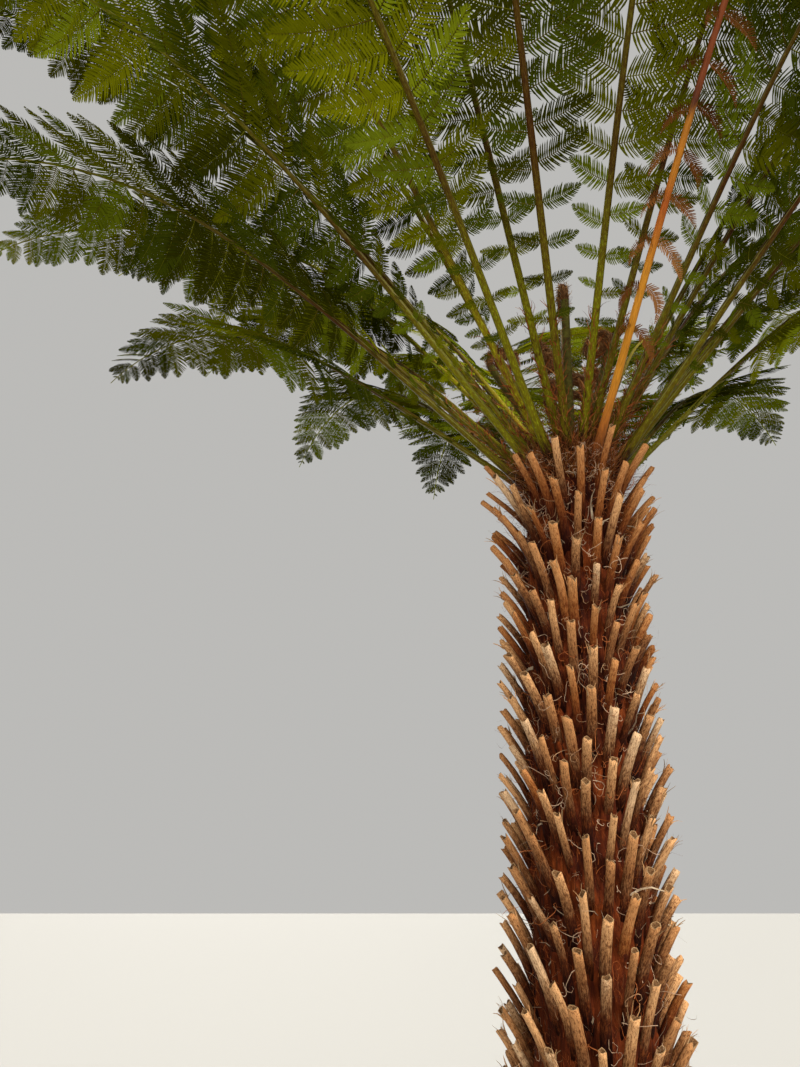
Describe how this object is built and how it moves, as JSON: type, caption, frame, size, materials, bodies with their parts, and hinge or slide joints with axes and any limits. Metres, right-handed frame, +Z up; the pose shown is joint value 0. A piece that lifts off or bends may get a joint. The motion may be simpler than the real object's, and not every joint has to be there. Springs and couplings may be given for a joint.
{
  "type": "tree fern",
  "caption": "Full-grown tree fern: leaning trunk clad in cut leaf bases, flared at the foot, under a crown of long arching fronds round coiled young ones.",
  "frame": {"origin": "centre of the flat cut under the trunk, at ground level", "axes": "+Z straight up; the trunk leans towards +X; -Y is the side the picture was taken from"},
  "size_m": [5.0826, 5.0575, 4.7989],
  "materials": {
    "bark": "rough, fibrous, with tan cut leaf bases",
    "leaf": "satin green leaf",
    "dead_leaf": "dry, orange-brown",
    "crozier": "matt, scaly"
  },
  "bodies": {
    "root": {"trunk": "bark", "frond_01": "leaf", "frond_02": "leaf", "frond_03": "leaf", "frond_04": "leaf", "frond_05": "leaf", "frond_06": "leaf", "frond_07": "leaf", "dead_frond": "dead_leaf", "frond_09": "leaf", "frond_10": "leaf", "frond_11": "leaf", "frond_12": "leaf", "frond_13": "leaf", "frond_14": "leaf", "frond_15": "leaf", "frond_16": "leaf", "frond_17": "leaf", "frond_18": "leaf", "frond_19": "leaf", "frond_20": "leaf", "frond_21": "leaf", "frond_22": "leaf", "frond_23": "leaf", "frond_24": "leaf", "frond_25": "leaf", "frond_26": "leaf", "frond_27": "leaf", "frond_28": "leaf", "frond_29": "leaf", "frond_30": "leaf", "frond_31": "leaf", "frond_32": "leaf", "frond_33": "leaf", "crozier_1": "crozier", "crozier_2": "crozier", "crozier_3": "crozier", "crozier_4": "crozier", "crozier_5": "crozier", "crozier_6": "crozier", "crozier_7": "crozier"}
  },
  "joints": []
}
